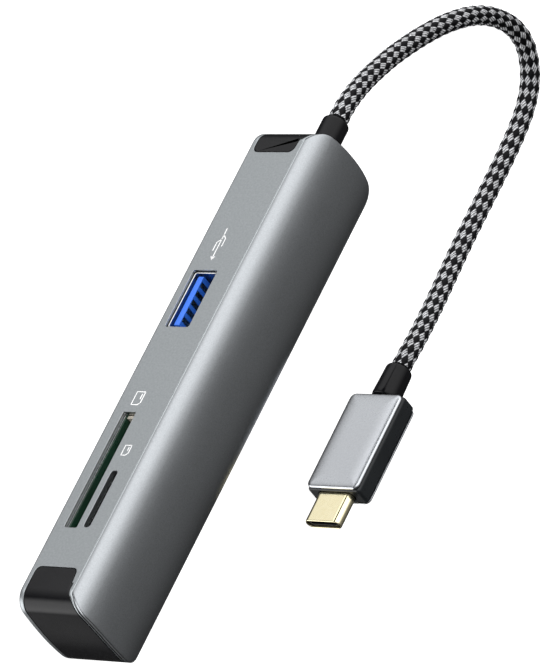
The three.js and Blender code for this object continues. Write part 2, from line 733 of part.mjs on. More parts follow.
addPart('hub_collar', hubCollar(), materials.glossBlack);
addPart('cable_tail', roundRod(COLLAR_TIP_X + 0.1, TAIL_END_X, CABLE_DIAMETER, 0, EXIT_Z),
  materials.blackResin);
addPart('cable_crimp', crimpRing(-50.5, -48.5, CABLE_DIAMETER / 2 + FIT, 3), materials.steel);
[['power_wire', -1.0, materials.wireRed], ['data_wire', 1.0, materials.wireWhite]].forEach(
  ([name, y, material]) => {
    const route = [[TAIL_END_X + 0.3, EXIT_Z], [-46.2, 7.3], [-45.2, 7.7], [-43.6, 7.8], [-42, 7.7]]
      .map(([x, z]) => new THREE.Vector3(x, y, z));
    addPart(name, tube(route, 1, 6, 10), material);
  },
);

addPart('cable', tube(CABLE_ROUTE, CABLE_DIAMETER, 10, 64), materials.braid);

addPart('plug_collar', plugCollar(), materials.glossBlack);
addPart('plug_core', plugCore(), materials.plugBody);
addPart('plug_cover_front', plugCover(-1), materials.plugCover);
addPart('plug_cover_back', plugCover(1), materials.plugCover);
addPart('plug_board', plugBoard(), materials.boardGreen);
addPart('usb_c_shell', usbcShell(), materials.gold);
addPart('usb_c_insulator', usbcInsulator(), materials.blackResin);

export default group;
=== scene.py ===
import math

import bmesh
import bpy
import numpy as np
from mathutils import Matrix, Vector


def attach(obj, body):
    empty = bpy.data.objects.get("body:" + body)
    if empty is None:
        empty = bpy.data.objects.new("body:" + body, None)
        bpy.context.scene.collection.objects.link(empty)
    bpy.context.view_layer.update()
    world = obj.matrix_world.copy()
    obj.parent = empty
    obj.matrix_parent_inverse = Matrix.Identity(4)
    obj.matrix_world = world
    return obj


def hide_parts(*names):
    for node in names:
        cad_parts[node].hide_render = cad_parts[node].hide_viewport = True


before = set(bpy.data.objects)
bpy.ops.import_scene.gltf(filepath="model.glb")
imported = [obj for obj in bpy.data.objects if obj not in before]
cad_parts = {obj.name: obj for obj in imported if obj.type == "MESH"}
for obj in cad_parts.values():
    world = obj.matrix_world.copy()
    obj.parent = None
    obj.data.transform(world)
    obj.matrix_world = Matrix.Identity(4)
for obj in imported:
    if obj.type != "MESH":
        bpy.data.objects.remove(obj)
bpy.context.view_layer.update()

# A slim USB-C hub. Lengths in this script are millimetres until MM turns them into metres.
# +Z is up, +X points to the closed end, the cable leaves the -X end and the port face
# looks along -Y.

MM = 0.001
scene = bpy.context.scene

# ---- sizes -----------------------------------------------------------------------------

HALF_LENGTH = 54.9
HALF_WIDTH = 10.35
SEAM_Z = 12.2
CROWN_Z = 16.1
FRONT_CORNER = 3.6
REAR_CORNER = 5.2
END_BOW = 0.35
WALL = 1.4
FLOOR = 1.3
SEAM_GAP = 0.25
FIT = 0.15
ARCH_POWER = 2.4
COVER_BOTTOM = SEAM_Z + SEAM_GAP
COVER_RISE = CROWN_Z - COVER_BOTTOM

INLAY_DEPTH = 0.8
INLAY_BOTTOM = 1.2
INLAY_SHOULDER = 11.1
LIP = 0.7
INLAY_CORNER = 1.3
CLOSED_START = 46.2
CABLE_START = 48.4

USB_A = dict(x=-14.2, z=4.82, width=13.15, height=5.74, depth=13.4)
SD = dict(x=24.7, z=4.2, width=25.9, height=3.0)
MICRO_SD = dict(x=31.1, z=7.9, width=12.65, height=1.55)

SD_CAGE = dict(x=24.7, z=4.25, width=26.4, height=3.1, behind_face=0.75)
MICRO_SD_CAGE = dict(x=31.1, z=7.95, width=13.0, height=1.9, behind_face=1.2)
BOSS_X, BOSS_Y = (-38, 42.2), (-5.6, 5.6)

EXIT_Z = 7.1
COLLAR_RADIUS = 2.65
COLLAR_TIP_X = -63.7
CABLE_DIAMETER = 4.0

PLUG_X, PLUG_Y, PLUG_Z = -9.8, 44.9, 6.4
PLUG_LENGTH, PLUG_HEIGHT, PLUG_THICKNESS = 22.3, 12.6, 5.9
PLUG_BACK = PLUG_X - PLUG_LENGTH
PLUG_COLLAR_TIP_X = -39.6
SHELL_WIDTH, SHELL_THICKNESS, SHELL_REACH, SHELL_SHEET = 8.3, 2.5, 6.65, 0.3
PLATE_DEPTH, PLATE_BORDER = 0.8, 0.12

CABLE_ROUTE = [
    (COLLAR_TIP_X - 0.3, 0, EXIT_Z),
    (-69, 0.9, 6.3),
    (-74, 2.7, 5.2),
    (-78.6, 4.7, 4.3),
    (-83, 6.8, 3.6),
    (-87.1, 8.9, 3.0),
    (-91.1, 11.1, 2.6),
    (-95.1, 13.4, 2.3),
    (-99, 15.8, 2.1),
    (-102.5, 18.1, 2.05),
    (-105.8, 20.6, 2.05),
    (-109, 23.4, 2.05),
    (-112.1, 26.9, 2.05),
    (-114.7, 31.2, 2.05),
    (-116.2, 35.9, 2.05),
    (-115.9, 40.4, 2.05),
    (-113.6, 44.2, 2.05),
    (-110.3, 46.8, 2.05),
    (-106.2, 48.3, 2.05),
    (-101.6, 49, 2.05),
    (-96.3, 49.3, 2.05),
    (-88.5, 49.4, 2.05),
    (-80.5, 49.3, 2.1),
    (-72.5, 49, 2.4),
    (-65, 48.5, 3.1),
    (-58.3, 47.8, 4.0),
    (-52.5, 46.9, 4.9),
    (-47.5, 46, 5.7),
    (-43.4, 45.2, 6.25),
    (PLUG_COLLAR_TIP_X - 0.3, PLUG_Y, PLUG_Z),
]

# ---- camera ----------------------------------------------------------------------------

CAMERA_TARGET = Vector((-27.3, 18.1, 0)) * MM
CAMERA_DISTANCE = 1157 * MM
right = Vector((-0.40297, 0.49999, 0.76656)).normalized()
back = Vector((0.45385, -0.61817, 0.64179))
back = (back - right * back.dot(right)).normalized()
up = back.cross(right)
camera_data = bpy.data.cameras.new("camera")
camera_data.sensor_width = 36
camera_data.lens = 332.1
camera_data.clip_start = 0.05
camera_data.clip_end = 20
camera = bpy.data.objects.new("camera", camera_data)
camera.matrix_world = (
    Matrix.Translation(CAMERA_TARGET + back * CAMERA_DISTANCE)
    @ Matrix((right, up, back)).transposed().to_4x4()
)
scene.collection.objects.link(camera)
scene.camera = camera

# ---- materials -------------------------------------------------------------------------


class Nodes:
    """A material's node tree, with short calls for the nodes that repeat."""

    def __init__(self, name):
        self.material = bpy.data.materials.new(name)
        self.material.use_nodes = True
        self.tree = self.material.node_tree
        self.shader = self.tree.nodes["Principled BSDF"]
        self.place = self.add("ShaderNodeTexCoord").outputs["Object"]

    def add(self, kind, **settings):
        node = self.tree.nodes.new(kind)
        for key, value in settings.items():
            setattr(node, key, value)
        return node

    def link(self, source, target):
        self.tree.links.new(source, target)

    def noise(self, scale, detail):
        node = self.add("ShaderNodeTexNoise")
        node.inputs["Scale"].default_value = scale
        node.inputs["Detail"].default_value = detail
        node.inputs["Roughness"].default_value = 0.55
        self.link(self.place, node.inputs["Vector"])
        return node.outputs["Fac"]

    def remap(self, source, low, high, start=0.3, end=0.7):
        node = self.add("ShaderNodeMapRange")
        node.inputs["From Min"].default_value = start
        node.inputs["From Max"].default_value = end
        node.inputs["To Min"].default_value = low
        node.inputs["To Max"].default_value = high
        self.link(source, node.inputs["Value"])
        return node.outputs["Result"]

    def math(self, operation, first, second=None):
        node = self.add("ShaderNodeMath", operation=operation)
        for socket, value in zip(node.inputs, (first, second)):
            if isinstance(value, (int, float)):
                socket.default_value = value
            elif value is not None:
                self.link(value, socket)
        return node.outputs["Value"]

    def blend(self, amount, dark, light):
        node = self.add("ShaderNodeMix", data_type="RGBA")
        node.inputs["A"].default_value = (*dark, 1)
        node.inputs["B"].default_value = (*light, 1)
        self.link(amount, node.inputs["Factor"])
        return node.outputs["Result"]

    def bump(self, height, distance):
        node = self.add("ShaderNodeBump")
        node.inputs["Distance"].default_value = distance
        self.link(height, node.inputs["Height"])
        self.link(node.outputs["Normal"], self.shader.inputs["Normal"])

    def set(self, **values):
        for key, value in values.items():
            self.shader.inputs[key.replace("_", " ")].default_value = value


def metal(name, dark, light, rough, grain=2600, depth=4e-6):
    """A blasted or plated metal: fine grain in its colour, gloss and surface."""
    n = Nodes(name)
    fine = n.noise(grain, 2.0)
    cloud = n.noise(60, 3.0)
    n.link(n.blend(n.remap(fine, 0, 1), dark, light), n.shader.inputs["Base Color"])
    mixed = n.math("ADD", n.math("MULTIPLY", fine, 0.6), n.math("MULTIPLY", cloud, 0.4))
    n.link(n.remap(mixed, rough[0], rough[1]), n.shader.inputs["Roughness"])
    n.bump(fine, depth)
    n.set(Metallic=1.0)
    return n.material


def moulded(name, dark, light, rough, grain=900, depth=3e-6, level=0.5):
    """A moulded plastic: slight mottling, uneven gloss and a faint skin texture."""
    n = Nodes(name)
    fine = n.noise(grain, 3.0)
    cloud = n.noise(120, 2.0)
    n.link(n.blend(n.remap(cloud, 0, 1), dark, light), n.shader.inputs["Base Color"])
    n.link(n.remap(fine, rough[0], rough[1]), n.shader.inputs["Roughness"])
    n.bump(fine, depth)
    n.set(Specular_IOR_Level=level)
    return n.material


def braid_material():
    """Black and silver yarns crossing in diamonds, from the weave coordinates in the mesh, with
    painted highlights on the silver strands and painted shade where they dip under.
    """
    n = Nodes("braid")
    weave = n.add("ShaderNodeUVMap", uv_map="weave").outputs["UV"]
    split = n.add("ShaderNodeSeparateXYZ")
    n.link(weave, split.inputs["Vector"])
    a, b = split.outputs["X"], split.outputs["Y"]
    cell = n.math("ADD", n.math("FLOOR", a), n.math("FLOOR", b))
    silver_on_top = n.math("SUBTRACT", 1.0, n.math("FLOORED_MODULO", cell, 2.0))
    across = n.math("FRACT", n.math("MULTIPLY", a, 3.0))
    strand = n.math("SINE", n.math("MULTIPLY", across, math.pi))
    along = n.math("SINE", n.math("MULTIPLY", n.math("FRACT", b), math.pi))
    # Painted highlight and shade: each silver yarn is coloured lighter along the middle of its
    # three strands. It is darker towards the strand edges, partly real dark gaps between strands
    # and partly painted shade. It is darker again at the cell ends, painted shade where the yarn
    # dips under the crossing yarn.
    lit = n.math(
        "MULTIPLY", n.remap(strand, 0.05, 1.0, 0.35, 0.7), n.remap(along, 0.3, 1, 0.1, 0.5),
    )
    fibre = n.remap(n.noise(3600, 2.0), 0.25, 1.0)
    amount = n.math("MULTIPLY", n.math("MULTIPLY", lit, silver_on_top), fibre)
    yarn = n.blend(amount, (0.003, 0.003, 0.004), (0.92, 0.93, 0.96))
    n.link(yarn, n.shader.inputs["Base Color"])
    n.link(n.remap(amount, 0.5, 0.32, 0.0, 1.0), n.shader.inputs["Roughness"])
    n.bump(n.noise(3000, 2.0), 8e-6)
    n.set(Specular_IOR_Level=0.1)
    return n.material


HOUSING = metal("housing_satin", (0.36, 0.385, 0.40), (0.44, 0.465, 0.48), (0.34, 0.46))
COVER = metal("cover_blasted", (0.33, 0.345, 0.36), (0.43, 0.45, 0.47), (0.32, 0.42), 5500, 5e-6)
PLUG_METAL = metal("plug_satin", (0.52, 0.54, 0.57), (0.6, 0.62, 0.65), (0.24, 0.34))
STEEL = metal("sheet_steel", (0.56, 0.56, 0.56), (0.72, 0.72, 0.72), (0.18, 0.3), 1500)
GOLD = metal("gold_plate", (0.93, 0.84, 0.55), (0.96, 0.88, 0.6), (0.14, 0.19), 1200, 4e-7)
GLOSS = moulded(
    "gloss_black", (0.004, 0.004, 0.005), (0.007, 0.007, 0.008), (0.16, 0.2), 500, 1e-6, 0.22,
)
COLLAR = moulded(
    "collar_black", (0.004, 0.004, 0.005), (0.007, 0.007, 0.008), (0.1, 0.15), level=0.16,
)
PLUG_BLACK = moulded(
    "plug_black", (0.012, 0.014, 0.016), (0.018, 0.021, 0.023), (0.25, 0.35), level=0.3,
)
RESIN = moulded("black_resin", (0.008, 0.008, 0.009), (0.016, 0.016, 0.018), (0.4, 0.55))
IVORY = moulded("ivory_resin", (0.4, 0.37, 0.31), (0.52, 0.48, 0.41), (0.4, 0.55))
BLUE = moulded("blue_plastic", (0.02, 0.13, 0.66), (0.035, 0.18, 0.8), (0.34, 0.46))
BOARD = moulded("solder_mask", (0.004, 0.03, 0.016), (0.008, 0.05, 0.028), (0.25, 0.4), 700, 8e-6)
CHIP = moulded("chip_black", (0.012, 0.012, 0.013), (0.025, 0.025, 0.027), (0.45, 0.6))
CERAMIC = moulded("ceramic", (0.28, 0.2, 0.12), (0.38, 0.28, 0.18), (0.4, 0.5))
FERRITE = moulded("ferrite", (0.03, 0.03, 0.032), (0.07, 0.07, 0.075), (0.5, 0.65), 1800, 1e-5)
RED = moulded("wire_red", (0.42, 0.01, 0.01), (0.5, 0.02, 0.02), (0.35, 0.45))
WHITE = moulded("wire_white", (0.68, 0.68, 0.65), (0.78, 0.78, 0.75), (0.35, 0.45))
PRINT = moulded("white_print", (0.78, 0.78, 0.78), (0.9, 0.9, 0.9), (0.5, 0.6))
BRAID = braid_material()

# ---- mesh helpers ------------------------------------------------------------------------


def new_object(name, verts, faces):
    mesh = bpy.data.meshes.new(name)
    mesh.from_pydata([tuple(c * MM for c in v) for v in verts], [], faces)
    bm = bmesh.new()
    bm.from_mesh(mesh)
    bmesh.ops.remove_doubles(bm, verts=bm.verts, dist=0.002 * MM)
    bmesh.ops.dissolve_degenerate(bm, edges=bm.edges, dist=0.001 * MM)
    bmesh.ops.recalc_face_normals(bm, faces=bm.faces)
    bm.to_mesh(mesh)
    bm.free()
    obj = bpy.data.objects.new(name, mesh)
    scene.collection.objects.link(obj)
    return obj


def skin_faces(rings, count, closed=False):
    faces = []
    last = rings if closed else rings - 1
    for r in range(last):
        for i in range(count):
            j = (i + 1) % count
            s = (r + 1) % rings
            faces.append((r * count + i, r * count + j, s * count + j, s * count + i))
    return faces


def skinned(name, rings, closed=False, caps=True):
    """A body through rings of points, either capped at both ends or closed into a loop."""
    count = len(rings[0])
    faces = skin_faces(len(rings), count, closed)
    if caps and not closed:
        faces.append(tuple(range(count)))
        start = (len(rings) - 1) * count
        faces.append(tuple(range(start + count - 1, start - 1, -1)))
    return new_object(name, [p for ring in rings for p in ring], faces)


def bake(obj):
    """Applies the object's modifiers."""
    depsgraph = bpy.context.evaluated_depsgraph_get()
    mesh = bpy.data.meshes.new_from_object(obj.evaluated_get(depsgraph))
    old = obj.data
    obj.modifiers.clear()
    obj.data = mesh
    bpy.data.meshes.remove(old)


def combine(target, other, operation):
    modifier = target.modifiers.new("combine", "BOOLEAN")
    modifier.operation = operation
    modifier.solver = "EXACT"
    modifier.object = other
    bake(target)
    bpy.data.objects.remove(other)
    return target


def cut(target, *cutters):
    for cutter in cutters:
        combine(target, cutter, "DIFFERENCE")
    return target


def common(target, other):
    return combine(target, other, "INTERSECT")


def join(target, *others):
    """Puts other objects' bodies into the target's mesh."""
    bm = bmesh.new()
    bm.from_mesh(target.data)
    for other in others:
        bm.from_mesh(other.data)
        bpy.data.objects.remove(other)
    bm.to_mesh(target.data)
    bm.free()
    return target


def tidy(obj, bevel=0.0):
    """Rounds the sharp edges by bevel, and shades the result smooth between them."""
    bm = bmesh.new()
    bm.from_mesh(obj.data)
    bmesh.ops.remove_doubles(bm, verts=bm.verts, dist=0.01 * MM)
    bmesh.ops.dissolve_degenerate(bm, edges=bm.edges, dist=0.005 * MM)
    bm.to_mesh(obj.data)
    bm.free()
    if bevel:
        modifier = obj.modifiers.new("bevel", "BEVEL")
        modifier.width = bevel * MM
        modifier.segments = 2
        modifier.limit_method = "ANGLE"
        modifier.angle_limit = math.radians(35)
        modifier.use_clamp_overlap = False
        bake(obj)
    obj.data.shade_smooth()
    obj.data.set_sharp_from_angle(angle=math.radians(50))
    weighted = obj.modifiers.new("weighted", "WEIGHTED_NORMAL")
    weighted.keep_sharp = True
    bake(obj)
    return obj


def dress(obj, material, slot=None, *nodes):
    obj.data.materials.clear()
    obj.data.materials.append(material)
    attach(obj, "root")
    if nodes:
        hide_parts(*nodes)
    return obj


def box(name, x, y, z):
    corners = [(x[i], y[j], z[k]) for i in (0, 1) for j in (0, 1) for k in (0, 1)]
    faces = [(0, 1, 3, 2), (4, 6, 7, 5), (0, 4, 5, 1), (2, 3, 7, 6), (0, 2, 6, 4), (1, 5, 7, 3)]
    return new_object(name, corners, faces)


def rounded_loop(width, height, radius, steps=8):
    """Points of a rounded rectangle, counter-clockwise round its centre."""
    radius = min(radius, width / 2 - 1e-3, height / 2 - 1e-3)
    points = []
    for quarter, (sx, sy) in enumerate([(1, 1), (-1, 1), (-1, -1), (1, -1)]):
        cx, cy = sx * (width / 2 - radius), sy * (height / 2 - radius)
        for i in range(steps + 1):
            t = math.radians(90 * (quarter + i / steps))
            points.append((cx + radius * math.cos(t), cy + radius * math.sin(t)))
    return points


def along_y(loop, x, z, y):
    return [(x + u, y, z + v) for u, v in loop]


def along_x(loop, y, z, x):
    return [(x, y + u, z + v) for u, v in loop]


def lathe(name, profile, y, z, segments=64, closed=False):
    """A body turned round an axis parallel to X; profile points are (radius, x)."""
    rings = []
    for radius, x in profile:
        ring = []
        for i in range(segments):
            t = 2 * math.pi * i / segments
            ring.append((x, y + radius * math.cos(t), z + radius * math.sin(t)))
        rings.append(ring)
    return skinned(name, rings, closed, caps=not closed)


# ---- cable -------------------------------------------------------------------------------


def smooth_route(points, step):
    """A centripetal spline through the points, as points a step apart."""
    points = [np.array(p, float) for p in points]
    points = [2 * points[0] - points[1], *points, 2 * points[-1] - points[-2]]
    dense = []
    for p0, p1, p2, p3 in zip(points, points[1:], points[2:], points[3:]):
        t1 = np.linalg.norm(p1 - p0) ** 0.5
        t2 = t1 + np.linalg.norm(p2 - p1) ** 0.5
        t3 = t2 + np.linalg.norm(p3 - p2) ** 0.5
        for t in np.linspace(t1, t2, 40, endpoint=False):
            a1 = p0 * (t1 - t) / t1 + p1 * t / t1
            a2 = p1 * (t2 - t) / (t2 - t1) + p2 * (t - t1) / (t2 - t1)
            a3 = p2 * (t3 - t) / (t3 - t2) + p3 * (t - t2) / (t3 - t2)
            b1 = a1 * (t2 - t) / t2 + a2 * t / t2
            b2 = a2 * (t3 - t) / (t3 - t1) + a3 * (t - t1) / (t3 - t1)
            dense.append(b1 * (t2 - t) / (t2 - t1) + b2 * (t - t1) / (t2 - t1))
    dense.append(points[-2])
    dense = np.array(dense)
    travelled = np.concatenate([[0], np.cumsum(np.linalg.norm(np.diff(dense, axis=0), axis=1))])
    count = int(travelled[-1] / step) + 1
    wanted = np.linspace(0, travelled[-1], count)
    line = np.stack([np.interp(wanted, travelled, dense[:, k]) for k in range(3)], axis=1)
    return line, travelled[-1]


CARRIERS = 8  # yarn bundles that wind each way round the cable
CROSSING_LENGTH = 1.35  # length of one diamond of the braid
AROUND = 96
cable_line, cable_length = smooth_route(CABLE_ROUTE, 0.1)


def braided_cable():
    tangent = np.gradient(cable_line, axis=0)
    tangent /= np.linalg.norm(tangent, axis=1)[:, None]
    side = np.cross(tangent, (0, 0, 1.0))
    side /= np.linalg.norm(side, axis=1)[:, None]
    above = np.cross(side, tangent)
    count = len(cable_line)
    distance = np.linspace(0, cable_length, count)[:, None]
    turn = np.linspace(0, 1, AROUND + 1)[None, :]
    a = CARRIERS * turn + distance / CROSSING_LENGTH / 2
    b = CARRIERS * turn - distance / CROSSING_LENGTH / 2
    first_on_top = (np.floor(a) + np.floor(b)) % 2 == 0
    over = np.where(first_on_top, a, b) % 1
    under = np.where(first_on_top, b, a) % 1
    bulge = np.sin(np.pi * under) * np.sin(np.pi * over) ** 0.5
    strands = np.abs(np.sin(3 * np.pi * over))
    radius = CABLE_DIAMETER / 2 - 0.17 + 0.14 * bulge + 0.05 * strands * bulge
    angle = 2 * np.pi * turn[:, :-1]
    radius = radius[:, :-1, None]
    points = cable_line[:, None, :] + radius * (
        np.cos(angle)[..., None] * side[:, None, :] + np.sin(angle)[..., None] * above[:, None, :]
    )
    points[..., 2] = np.maximum(points[..., 2], 0.02)
    faces = skin_faces(count, AROUND)
    mesh = bpy.data.meshes.new("braided_cable")
    centre = [tuple(cable_line[0] * MM), tuple(cable_line[-1] * MM)]
    verts = (points.reshape(-1, 3) * MM).tolist() + centre
    first_cap, last_cap = count * AROUND, count * AROUND + 1
    start = (count - 1) * AROUND
    caps = [(first_cap, (i + 1) % AROUND, i) for i in range(AROUND)]
    caps += [(last_cap, start + i, start + (i + 1) % AROUND) for i in range(AROUND)]
    mesh.from_pydata(verts, [], faces + caps)
    weave = mesh.uv_layers.new(name="weave")
    uv = np.zeros((len(mesh.loops), 2), np.float32)
    row, column = np.divmod(np.arange((count - 1) * AROUND), AROUND)
    for corner, (dr, dc) in enumerate([(0, 0), (0, 1), (1, 1), (1, 0)]):
        uv[corner: 4 * len(row): 4, 0] = a[row + dr, column + dc]
        uv[corner: 4 * len(row): 4, 1] = b[row + dr, column + dc]
    weave.data.foreach_set("uv", uv.ravel())
    mesh.shade_smooth()
    obj = bpy.data.objects.new("braided_cable", mesh)
    scene.collection.objects.link(obj)
    bm = bmesh.new()
    bm.from_mesh(mesh)
    bmesh.ops.recalc_face_normals(bm, faces=bm.faces)
    bm.to_mesh(mesh)
    bm.free()
    return obj


cable = dress(braided_cable(), BRAID, "braid", "cable")

hub_collar = tidy(lathe("hub_strain_relief", [
    (2.1, COLLAR_TIP_X + 0.1),
    (2.18, COLLAR_TIP_X + 0.02),
    (2.3, COLLAR_TIP_X),
    (2.42, COLLAR_TIP_X + 0.05),
    (2.54, COLLAR_TIP_X + 0.17),
    (2.62, COLLAR_TIP_X + 0.36),
    (COLLAR_RADIUS, COLLAR_TIP_X + 0.6),
    (COLLAR_RADIUS, -53.3),
    (3.55, -53.2),
    (3.65, -53.1),
    (3.65, -52.1),
    (3.55, -52.0),
    (2.15, -52.0),
], 0, EXIT_Z, closed=True))
dress(hub_collar, COLLAR, "gloss_black", "hub_collar")

plug_collar = tidy(lathe("plug_strain_relief", [
    (0.01, PLUG_COLLAR_TIP_X),
    (2.1, PLUG_COLLAR_TIP_X),
    (2.3, PLUG_COLLAR_TIP_X + 0.03),
    (2.45, PLUG_COLLAR_TIP_X + 0.12),
    (2.58, PLUG_COLLAR_TIP_X + 0.3),
    (2.65, PLUG_COLLAR_TIP_X + 0.6),
    (2.83, PLUG_BACK - 1.25),
    (2.85, PLUG_BACK - 0.9),
    (2.78, PLUG_BACK - 0.5),
    (2.6, PLUG_BACK - 0.32),
    (1.1, PLUG_BACK - 0.3),
    (1.1, PLUG_BACK + 3.2),
    (0.01, PLUG_BACK + 3.2),
], PLUG_Y, PLUG_Z))
dress(plug_collar, COLLAR, "gloss_black", "plug_collar")

# ---- the hub's outline ---------------------------------------------------------------------


def plan_outline(corner_steps, end_steps):
    """The plan outline's points and outward normals, counter-clockwise."""
    halves, corners = [], []
    for radius in (FRONT_CORNER, REAR_CORNER):
        slope = 0.1  # angle at which the bowed end meets a corner's arc
        for _ in range(8):
            half = HALF_WIDTH - radius + radius * math.sin(slope)
            slope = math.atan(2 * END_BOW / half)
        centre_x = HALF_LENGTH - END_BOW - radius * math.cos(slope)
        corner = []
        for i in range(corner_steps + 1):
            t = slope + (math.pi / 2 - slope) * i / corner_steps
            corner.append((centre_x + radius * math.cos(t),
                           HALF_WIDTH - radius + radius * math.sin(t), math.cos(t), math.sin(t)))
        halves.append(half)
        corners.append(corner)
    end = []
    for i in range(1, end_steps):
        s = 2 * i / end_steps - 1
        half = halves[0] if s < 0 else halves[1]
        n = Vector((1, 2 * END_BOW * s / half)).normalized()
        end.append((HALF_LENGTH - END_BOW * s * s, s * half, n.x, n.y))
    lower = [(x, -y, nx, -ny) for x, y, nx, ny in reversed(corners[0])]
    one_end = lower + end + corners[1]
    return one_end + [(-x, y, -nx, ny) for x, y, nx, ny in reversed(one_end)]


OUTLINE = plan_outline(corner_steps=18, end_steps=10)
DEEPEST = 3.4  # the last inset that keeps the corner arcs round


def plan_ring(inset, z):
    """The outline drawn in by inset (a number, or one for each point) at height z."""
    ring = []
    for i, (x, y, nx, ny) in enumerate(OUTLINE):
        d = inset[i] if isinstance(inset, list) else inset
        px, py = x - nx * d, y - ny * d
        ring.append((px, py, z(py, i) if callable(z) else z))
    return ring


def towards_middle(share, z):
    """The deepest ring, squeezed towards the hub's centre line."""
    ring = []
    for i, (x, y, nx, ny) in enumerate(OUTLINE):
        px, py = x - nx * DEEPEST, (y - ny * DEEPEST) * (1 - share)
        ring.append((px, py, z(py, i) if callable(z) else z))
    return ring


def arch(half_span, spring, rise):
    def height(y, _=0):
        share = min(abs(y) / half_span, 1.0)
        return spring + rise * (1 - share ** ARCH_POWER) ** (1 / ARCH_POWER)
    return height


def under_cover(drop, lowest=0):
    """The cover's outer surface moved down by drop, but no lower than lowest."""
    outer = arch(HALF_WIDTH, COVER_BOTTOM - drop, COVER_RISE)
    return lambda y, _=0: max(outer(y), lowest)


SHARES = [0.12, 0.25, 0.4, 0.55, 0.7, 0.85, 1.0]


TOP_INSETS = (0.05, 0.12, 0.2, 0.35, 0.6, 0.85, 1.1, 1.5, 2.1, 2.9)


def block(name, grow, bottom, top, foot=0.0):
    """Everything inside the outline (grown sideways) from bottom up to the top surface."""
    rings = [towards_middle(s, bottom) for s in reversed(SHARES)]
    rings.append(plan_ring(DEEPEST, bottom))
    if foot:
        for k in range(7):
            t = math.radians(15 * k)
            rings.append(plan_ring(foot * (1 - math.sin(t)), bottom + foot * (1 - math.cos(t))))
    else:
        rings.append(plan_ring(-grow, bottom))
    rings.append(plan_ring(-grow, lambda y, i: top(y)))
    rings += [plan_ring(s - grow, lambda y, i: top(y)) for s in TOP_INSETS]
    rings.append(plan_ring(DEEPEST, lambda y, i: top(y)))
    rings += [towards_middle(s, lambda y, i: top(y)) for s in SHARES]
    return skinned(name, rings, caps=False)


def prism(inset, z0, z1):
    return skinned("prism", [plan_ring(inset, z0), plan_ring(inset, z1)])


def end_window(start, grow, side):
    """The side view of an end inlay, run through the hub's whole width."""
    x = start - grow
    low, shoulder = INLAY_BOTTOM - grow, INLAY_SHOULDER + grow
    r = INLAY_CORNER
    beyond, above = HALF_LENGTH + 6, CROWN_Z + 1
    view = [(beyond, low), (beyond, above), (x + 3.4, above), (x + 3.2, shoulder + 0.2)]
    for i in range(11):
        t = math.radians(90 + 9 * i)
        view.append((x + r + r * math.cos(t), shoulder - r + r * math.sin(t)))
    for i in range(11):
        t = math.radians(180 + 9 * i)
        view.append((x + r + r * math.cos(t), low + r + r * math.sin(t)))
    rings = [[(side * u, y, v) for u, v in view] for y in (-HALF_WIDTH - 2, HALF_WIDTH + 2)]
    return skinned("window", rings)


def end_body(name, start, side, grow, depth, spread):
    """The band round one end that an inlay fills, or its recess when it spreads outwards."""
    top = under_cover(COVER_BOTTOM - INLAY_SHOULDER - 0.1 - grow)
    band = block(name, spread, 0.2, top)
    common(band, end_window(start, grow, side))
    return cut(band, prism(depth, -1, CROWN_Z + 2))


def collar_hole():
    radius = COLLAR_RADIUS + FIT
    return lathe("hole", [(radius, -HALF_LENGTH - 6), (radius, -45)], 0, EXIT_Z)


def port_cutter(spec, radius):
    loop = rounded_loop(spec["width"], spec["height"], radius)
    return skinned("port", [along_y(loop, spec["x"], spec["z"], y) for y in (-20.7, -6.7)])


FACE_Y = -HALF_WIDTH


def cage_pocket(cage):
    """The space that a card cage takes up in the wall behind its opening."""
    x, z = cage["x"], cage["z"]
    half_width, half_height = cage["width"] / 2 + FIT, cage["height"] / 2 + FIT
    return box("pocket", (x - half_width, x + half_width),
               (FACE_Y + cage["behind_face"] - 0.1, FACE_Y + 2 * WALL),
               (z - half_height, z + half_height))


def lower_housing():
    top = under_cover(LIP + SEAM_GAP, SEAM_Z)
    tray = block("lower_shell", 0, 0, top, foot=0.5)
    cut(tray, prism(WALL, FLOOR, CROWN_Z + 2))
    cut(tray, end_body("recess", CLOSED_START, 1, 0, INLAY_DEPTH, 1))
    cut(tray, end_body("recess", CABLE_START, -1, 0, INLAY_DEPTH, 1))
    cut(tray, port_cutter(USB_A, 0.5), port_cutter(SD, 0.35), port_cutter(MICRO_SD, 0.7))
    cut(tray, cage_pocket(SD_CAGE), cage_pocket(MICRO_SD_CAGE), collar_hole())
    for side in (-1, 1):
        groove = sorted((side * (HALF_WIDTH - 0.3), side * (HALF_WIDTH - 1.1)))
        cut(tray, box("groove", (-45, 45), groove, (SEAM_Z - 0.6, CROWN_Z + 1)))
    tidy(tray, 0.07)
    bosses = []
    profile = [(0.01, 0.8), (2, 0.8), (2, 5.55), (1.9, 5.65), (1.1, 5.65), (1.1, 2.4), (0.01, 2.4)]
    for x in BOSS_X:
        for y in BOSS_Y:
            post = lathe("boss", profile, 0, 0, 32)
            post.data.transform(Matrix.Rotation(-math.pi / 2, 4, "Y"))
            post.data.transform(Matrix.Translation((x * MM, y * MM, 0)))
            bosses.append(tidy(post))
    return join(tray, *bosses)


